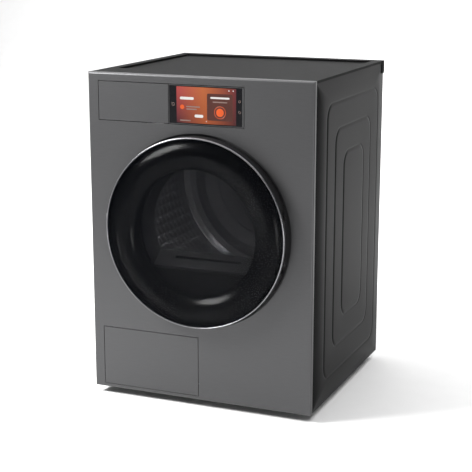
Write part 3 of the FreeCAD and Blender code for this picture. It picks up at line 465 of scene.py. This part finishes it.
def picture_material():
    """The screen's warm wash: red at the top left, orange in the middle, dark wine at the bottom left."""
    made, tree, shader = material("screen_picture", 0.0, 0.2)
    shader.inputs["Emission Strength"].default_value = 0.6
    coordinates = tree.nodes.new("ShaderNodeTexCoord")
    split = tree.nodes.new("ShaderNodeSeparateXYZ")
    tree.links.new(coordinates.outputs["Object"], split.inputs["Vector"])
    across = share(tree, split.outputs["X"], PICTURE_LEFT, PICTURE_RIGHT)
    up = share(tree, split.outputs["Z"], PICTURE_LOW, PICTURE_TOP)
    upper = [(0.0, (0.75, 0.10, 0.10)), (0.45, (0.85, 0.22, 0.06)), (1.0, (0.22, 0.03, 0.04))]
    lower = [(0.0, (0.10, 0.015, 0.03)), (0.5, (0.62, 0.13, 0.03)), (1.0, (0.10, 0.015, 0.02))]
    top = ramp(tree, across, upper)
    low = ramp(tree, across, lower)
    # sockets 0, 6 and 7 are a colour mix's factor, first colour and second colour, and 2 is its result
    blend = tree.nodes.new("ShaderNodeMix")
    blend.data_type = "RGBA"
    tree.links.new(up, blend.inputs[0])
    tree.links.new(low, blend.inputs[6])
    tree.links.new(top, blend.inputs[7])
    tree.links.new(blend.outputs[2], shader.inputs["Emission Color"])
    unlit = ramp(tree, up, [(0.0, (0.004, 0.004, 0.004)), (1.0, (0.01, 0.006, 0.006))])
    tree.links.new(unlit, shader.inputs["Base Color"])
    return made


GLOW_WHITE = glow("lit_white", (0.9, 0.88, 0.85), 0.9)
GLOW_DIM = glow("lit_dim", (0.45, 0.30, 0.26), 0.6)
GLOW_ORANGE = glow("lit_orange", (0.85, 0.12, 0.02), 1.0)
GLOW_CARD = glow("lit_card", (0.17, 0.045, 0.03), 0.5)
LAYER_STEP = 0.08 * MM
LAYER_THICK = 0.07 * MM


def on_screen(name, outline, layer, made, hole=None):
    """A flat mark on the glass; each layer lies one step nearer the viewer than the last."""
    tile(name, outline, SCREEN_Y - (layer + 1) * LAYER_STEP, LAYER_THICK, made, hole=hole)


def disc(name, x, z, radius, layer, made, steps=48):
    on_screen(name, circle(*screen_at(x, z), radius * MM, steps), layer, made)


def hoop(name, x, z, radius, inner_radius, layer, made):
    centre = screen_at(x, z)
    hole = circle(*centre, inner_radius * MM)
    on_screen(name, circle(*centre, radius * MM), layer, made, hole=hole)


def bar(name, x0, x1, z, height, layer, made):
    """A round-ended bar that stands for a line of text."""
    left, middle = screen_at(x0, z)
    right = screen_at(x1, z)[0]
    half = height * MM / 2
    outline = rounded_outline(left, right, middle - half, middle + half, half * 0.9, 4)
    on_screen(name, outline, layer, made)


def display():
    """The lit picture, its card and the touch marks beside it."""
    picture = rounded_outline(PICTURE_LEFT, PICTURE_RIGHT, PICTURE_LOW, PICTURE_TOP, 1.5 * MM)
    on_screen("screen_picture", picture, 0, picture_material())
    card_left, card_low = screen_at(325, 719)
    card_right, card_top = screen_at(392, 784)
    card = rounded_outline(card_left, card_right, card_low, card_top, 4 * MM)
    on_screen("status_card", card, 1, GLOW_CARD)
    hoop("start_ring", 359, 739, 15, 14, 2, GLOW_ORANGE)
    disc("start_disc", 359, 739, 10, 2, GLOW_ORANGE)
    disc("programme_disc", 259, 748.6, 5.5, 1, GLOW_ORANGE)
    disc("page_dot", 323, 716, 1.2, 2, GLOW_WHITE, 24)
    disc("status_dot_left", 382.5, 792.6, 1.5, 1, GLOW_WHITE, 24)
    disc("status_dot_right", 393.5, 792.6, 1.5, 1, GLOW_WHITE, 24)
    bar("title_bar", 253, 290, 770, 6.5, 1, GLOW_WHITE)
    bar("value_pill", 292, 315, 728, 7, 1, GLOW_WHITE)
    bar("option_bar_upper", 270, 306, 750, 3, 1, GLOW_DIM)
    bar("option_bar_lower", 270, 298, 744, 3, 1, GLOW_DIM)
    bar("card_bar_upper", 334, 384, 774, 4.5, 2, GLOW_WHITE)
    bar("card_bar_lower", 340, 378, 764, 3, 2, GLOW_DIM)
    bar("menu_bar_left", 253, 281, 716, 3, 1, GLOW_DIM)
    hoop("power_ring", 235, 754, 4, 3.2, 0, GLOW_DIM)
    hoop("touch_ring_upper", 410, 768, 3, 2.3, 0, GLOW_DIM)
    hoop("touch_ring_lower", 410, 742, 3, 2.3, 0, GLOW_DIM)


display()


# ---------------------------------------------------------------------------------------------
# Feet: ribbed rubber pads on ridged studs
# ---------------------------------------------------------------------------------------------
# (radius, height) as shares of the foot's own radius and height
PAD_PROFILE = [(0.3, 0.0), (0.93, 0.0), (1.0, 0.06), (0.97, 0.14), (1.0, 0.20), (0.97, 0.28), (1.0, 0.34),
               (0.92, 0.42), (0.55, 0.46), (0.35, 0.5)]
STUD_RIDGES = 8
RIDGE_PITCH = 0.06
FOOT_AROUND = 96
KNURL_DEPTH = 0.03


def foot_profile():
    profile = list(PAD_PROFILE)
    for ridge in range(STUD_RIDGES):
        profile += [(0.30, 0.52 + ridge * RIDGE_PITCH), (0.34, 0.55 + ridge * RIDGE_PITCH)]
    return profile + [(0.28, 1.0)]


def ribbed_foot(node):
    """A foot whose pad is notched round its widest part."""
    low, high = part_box(node)
    cx, cy = (low[0] + high[0]) / 2, (low[1] + high[1]) / 2
    radius = (high[0] - low[0]) / 2
    height = high[2] - low[2]
    rings = []
    for r, h in foot_profile():
        ring = []
        for i in range(FOOT_AROUND):
            a = 2 * math.pi * i / FOOT_AROUND
            notched = r > 0.9 and i % 4 < 2
            reach = r * radius * (1.0 - KNURL_DEPTH * notched)
            ring.append((cx + reach * math.cos(a), cy + reach * math.sin(a), low[2] + h * height))
        rings.append(ring)
    item = swept("ribbed_" + node, rings, RUBBER, BODY_OF[node], closed=False, capped=True)
    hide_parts(node)


for foot in ("foot_front_left", "foot_front_right", "foot_rear_left", "foot_rear_right"):
    ribbed_foot(foot)


# ---------------------------------------------------------------------------------------------
# Studio
# ---------------------------------------------------------------------------------------------
FLOOR_FRONT = -6.0
FLOOR_BACK = 3.2
COVE_RADIUS = 1.6
WALL_TOP = 6.0
FLOOR_HALF_WIDTH = 7.0


def backdrop():
    """A pale floor that curves up into the wall behind."""
    profile = [(FLOOR_FRONT, 0.0), (FLOOR_BACK, 0.0)]
    for degrees in range(5, 91, 5):
        a = math.radians(degrees)
        profile.append((FLOOR_BACK + COVE_RADIUS * math.sin(a), COVE_RADIUS * (1 - math.cos(a))))
    profile.append((FLOOR_BACK + COVE_RADIUS, WALL_TOP))
    mesh = bpy.data.meshes.new("studio_floor")
    vertices = [(x, y, z) for y, z in profile for x in (-FLOOR_HALF_WIDTH, FLOOR_HALF_WIDTH)]
    faces = [(2 * i, 2 * i + 1, 2 * i + 3, 2 * i + 2) for i in range(len(profile) - 1)]
    mesh.from_pydata(vertices, [], faces)
    for polygon in mesh.polygons:
        polygon.use_smooth = True
    item = bpy.data.objects.new("studio_floor", mesh)
    bpy.context.scene.collection.objects.link(item)
    paint(item, grained("pale_paper", (0.80, 0.80, 0.80), 0.01, 0.0, 0.8, 20.0))


backdrop()


def area_light(name, place, target, width, height, power):
    """A rectangular lamp at a place, turned to face a target."""
    data = bpy.data.lights.new(name, "AREA")
    data.shape = "RECTANGLE"
    data.size, data.size_y = width, height
    data.energy = power
    item = bpy.data.objects.new(name, data)
    item.location = place
    item.rotation_euler = (Vector(target) - Vector(place)).to_track_quat("-Z", "Y").to_euler()
    bpy.context.scene.collection.objects.link(item)


area_light("key_left", (-1.45, -1.15, 1.75), (-0.3, -0.3, 0.8), 0.9, 0.9, 110.0)
area_light("low_front_right", (1.5, -1.9, 0.25), (0.25, -0.27, 0.1), 0.5, 0.5, 9.0)
area_light("top_soft", (0.0, 0.9, 3.6), (0.0, 0.9, 0.0), 6.0, 5.0, 260.0)
area_light("wall_wash", (0.0, 1.2, 2.4), (0.0, 4.6, 1.6), 5.0, 2.0, 150.0)
area_light("drum_lamp", (-0.12, -0.15, DRUM_Z + 0.16), (-0.26, 0.10, DRUM_Z - 0.06), 0.03, 0.03, 0.7)
area_light("fill_right", (3.0, -1.4, 0.5), (0.3, -0.2, 0.2), 0.8, 1.0, 3.0)

bpy.context.scene.view_settings.view_transform = "Standard"
world = bpy.context.scene.world or bpy.data.worlds.new("studio_world")
bpy.context.scene.world = world
world.use_nodes = True
world.node_tree.nodes["Background"].inputs["Color"].default_value = (1.0, 1.0, 1.0, 1.0)
world.node_tree.nodes["Background"].inputs["Strength"].default_value = 0.22

CAMERA_PLACE = (1.277, -3.0745, 1.172)
CAMERA_DOWN = 13.22
CAMERA_LEFT = 22.74
lens = bpy.data.cameras.new("camera")
lens.sensor_width = 36.0
lens.lens = 97.635
camera = bpy.data.objects.new("camera", lens)
camera.location = CAMERA_PLACE
camera.rotation_euler = (math.radians(90 - CAMERA_DOWN), 0.0, math.radians(CAMERA_LEFT))
bpy.context.scene.collection.objects.link(camera)
bpy.context.scene.camera = camera
